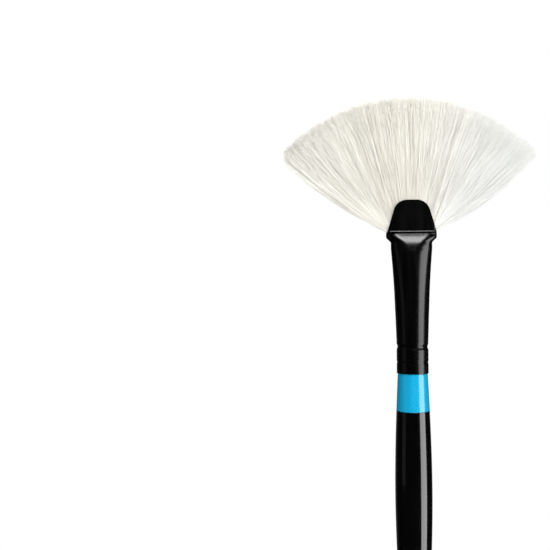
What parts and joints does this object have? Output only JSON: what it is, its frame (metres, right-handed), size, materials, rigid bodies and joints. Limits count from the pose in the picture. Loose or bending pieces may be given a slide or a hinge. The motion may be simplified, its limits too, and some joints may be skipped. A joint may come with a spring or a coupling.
{
  "type": "fan paint brush",
  "caption": "Long-handled artist's fan brush: slim lacquered wooden handle, flattened metal ferrule and a flat spread of springy bristles.",
  "frame": {"origin": "middle of the tail's end, the lowest point of the brush when it stands upright", "axes": "+Z along the handle towards the bristles, X across the width of the fan, Y through its thickness"},
  "size_m": [0.0636, 0.0092, 0.3187],
  "materials": {
    "bare_wood": "turned and sanded, bare inside the ferrule",
    "black_lacquer": "high gloss black lacquer",
    "blue_lacquer": "high gloss blue lacquer",
    "black_metal": "satin black on a metal tube",
    "glue": "hardened wood adhesive",
    "resin": "cured amber resin",
    "thread": "twisted cotton thread",
    "bristle": "soft cream-white bristles"
  },
  "bodies": {
    "brush": {"handle_core": "bare_wood", "handle_lacquer": "black_lacquer", "color_band": "blue_lacquer", "ferrule": "black_metal", "ferrule_glue": "glue", "resin_plug": "resin", "bristle_roots": "bristle", "root_thread": "thread"},
    "bristles": {"bristle_fan": "bristle"}
  },
  "joints": [
    {"name": "bristle_flex", "type": "hinge", "parent": "brush", "child": "bristles", "pos_m": [0, 0, 0.294], "axis": [1, 0, 0], "range_deg": [-35, 35], "stiffness_Nm_per_rad": 0.04}
  ]
}
